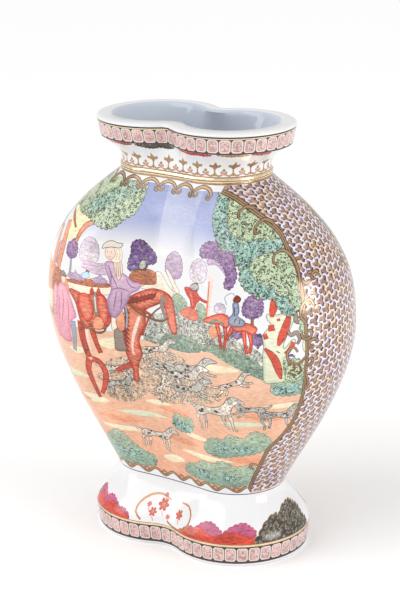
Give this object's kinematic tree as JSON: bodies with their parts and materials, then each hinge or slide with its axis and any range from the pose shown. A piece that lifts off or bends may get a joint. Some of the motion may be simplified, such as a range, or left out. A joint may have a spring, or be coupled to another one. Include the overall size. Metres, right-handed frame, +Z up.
{
  "type": "double vase",
  "caption": "Porcelain vase of two joined round lobes with one mouth, a flared rim, a waisted neck and a hollow spreading foot, painted all round.",
  "frame": {"origin": "centre of the foot on the surface that the vase stands on", "axes": "+Z up, +X along the long side through both lobes, -Y out of the painted front"},
  "size_m": [0.1956, 0.1024, 0.2517],
  "materials": {
    "porcelain": "white glazed porcelain painted over the glaze in coloured enamels with gilding"
  },
  "bodies": {
    "root": {"double_vase": "porcelain"}
  },
  "joints": []
}
